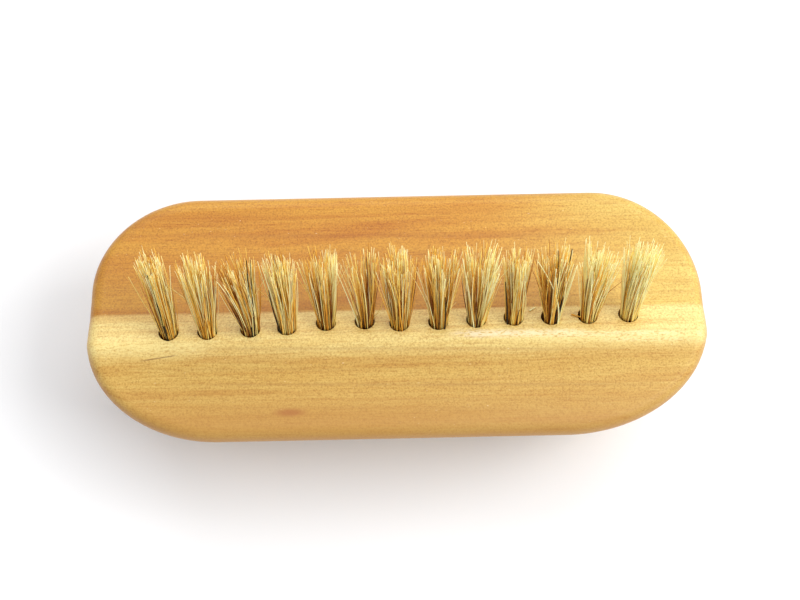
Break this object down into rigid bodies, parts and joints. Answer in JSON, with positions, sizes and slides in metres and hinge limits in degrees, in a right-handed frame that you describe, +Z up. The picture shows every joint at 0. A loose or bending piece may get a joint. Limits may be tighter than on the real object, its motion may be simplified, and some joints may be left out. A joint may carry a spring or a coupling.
{
  "type": "scrubbing brush",
  "caption": "Small double-sided wooden scrubbing brush for collars, cuffs, hands and nails: a rounded block with a slanted row of bristle tufts on top and a bristle field below.",
  "frame": {"origin": "on the plane of the lower tuft tips, under the middle of the object's box", "axes": "+X along the block, +Y towards the side that the upper tufts lean to, +Z up, away from the lower tufts"},
  "size_m": [0.095, 0.0385, 0.043],
  "materials": {
    "block_wood": "sanded pale softwood under a thin clear oil, satin",
    "upper_bristle": "natural plant fibre, cream to golden with a few dark fibres",
    "lower_bristle": "natural plant fibre, cream to golden",
    "anchor_wire": "plain flat wire"
  },
  "bodies": {
    "root": {"wood_block": "block_wood", "upper_tuft_01": "upper_bristle", "upper_tuft_02": "upper_bristle", "upper_tuft_03": "upper_bristle", "upper_tuft_04": "upper_bristle", "upper_tuft_05": "upper_bristle", "upper_tuft_06": "upper_bristle", "upper_tuft_07": "upper_bristle", "upper_tuft_08": "upper_bristle", "upper_tuft_09": "upper_bristle", "upper_tuft_10": "upper_bristle", "upper_tuft_11": "upper_bristle", "upper_tuft_12": "upper_bristle", "upper_tuft_13": "upper_bristle", "upper_anchors": "anchor_wire", "lower_tufts_row_1": "lower_bristle", "lower_tufts_row_2": "lower_bristle", "lower_tufts_row_3": "lower_bristle", "lower_tufts_row_4": "lower_bristle", "lower_tufts_row_5": "lower_bristle", "lower_anchors_row_1": "anchor_wire", "lower_anchors_row_2": "anchor_wire", "lower_anchors_row_3": "anchor_wire", "lower_anchors_row_4": "anchor_wire", "lower_anchors_row_5": "anchor_wire"}
  },
  "joints": []
}
